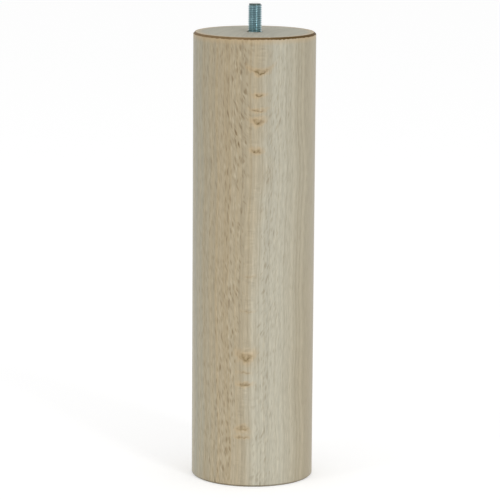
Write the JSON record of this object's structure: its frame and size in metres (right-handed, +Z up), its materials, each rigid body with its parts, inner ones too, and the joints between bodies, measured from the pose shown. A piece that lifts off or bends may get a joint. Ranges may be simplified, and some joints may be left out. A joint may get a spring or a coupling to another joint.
{
  "type": "bed leg",
  "caption": "Round turned beech bed leg with a small chamfer at each end and a threaded steel stud in its top for screwing under a bed frame.",
  "frame": {"origin": "centre of the foot, on the floor", "axes": "+Z up the axis of the leg to the stud, -Y towards the viewer of the picture, +X to the viewer's right"},
  "size_m": [0.07, 0.07, 0.274],
  "materials": {
    "beech": "sanded smooth, satin",
    "zinc_plated_steel": "rolled thread, bright zinc plate with a blue passivate"
  },
  "bodies": {
    "root": {"leg_body": "beech", "hanger_bolt": "zinc_plated_steel"}
  },
  "joints": []
}
